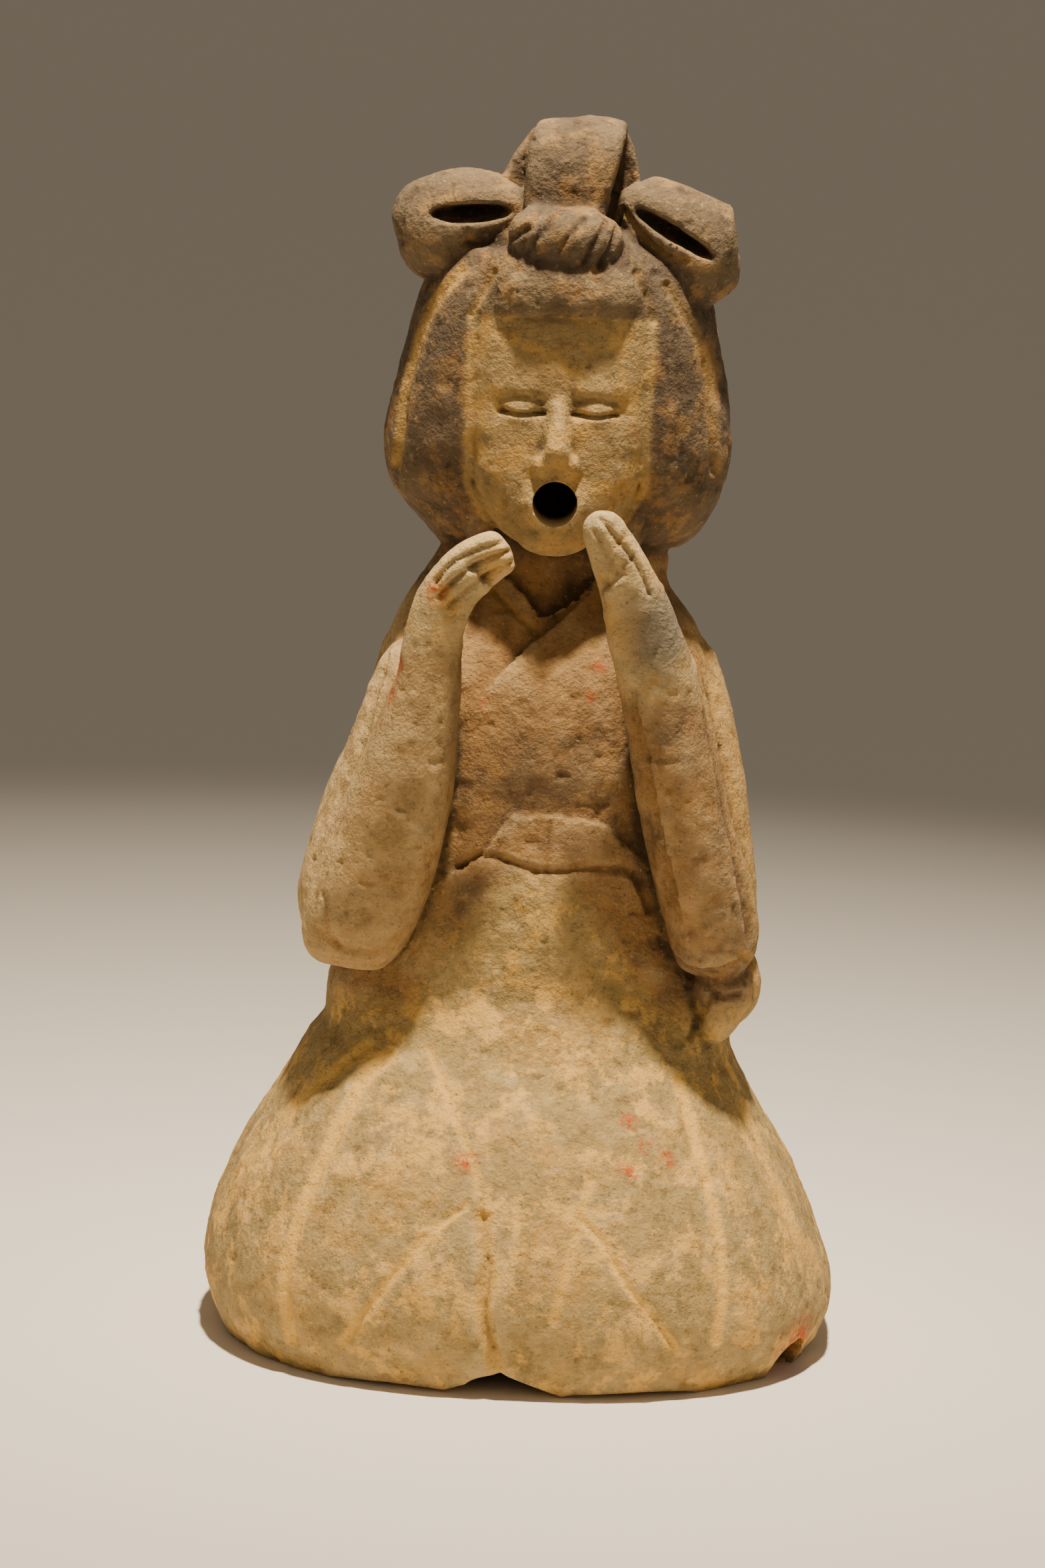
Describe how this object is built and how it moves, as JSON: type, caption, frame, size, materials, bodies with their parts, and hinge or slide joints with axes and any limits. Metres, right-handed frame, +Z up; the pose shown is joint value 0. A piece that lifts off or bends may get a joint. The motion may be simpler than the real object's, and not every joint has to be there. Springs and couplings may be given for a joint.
{
  "type": "figurine",
  "caption": "Kneeling pottery musician with both hands raised to the open mouth, looped hair bows, topknot and a wide bell-shaped skirt, hollow from below.",
  "frame": {"origin": "middle of the figure's width and depth, on the plane of its lower rim", "axes": "+Z up along the figure's height, -Y the way the face looks, +X to the right as seen from the front"},
  "size_m": [0.146, 0.1292, 0.2801],
  "materials": {
    "fired_clay": "unglazed, matt, with ochre soil and pale slip in the grooves"
  },
  "bodies": {
    "root": {"musician_figure": "fired_clay"}
  },
  "joints": []
}
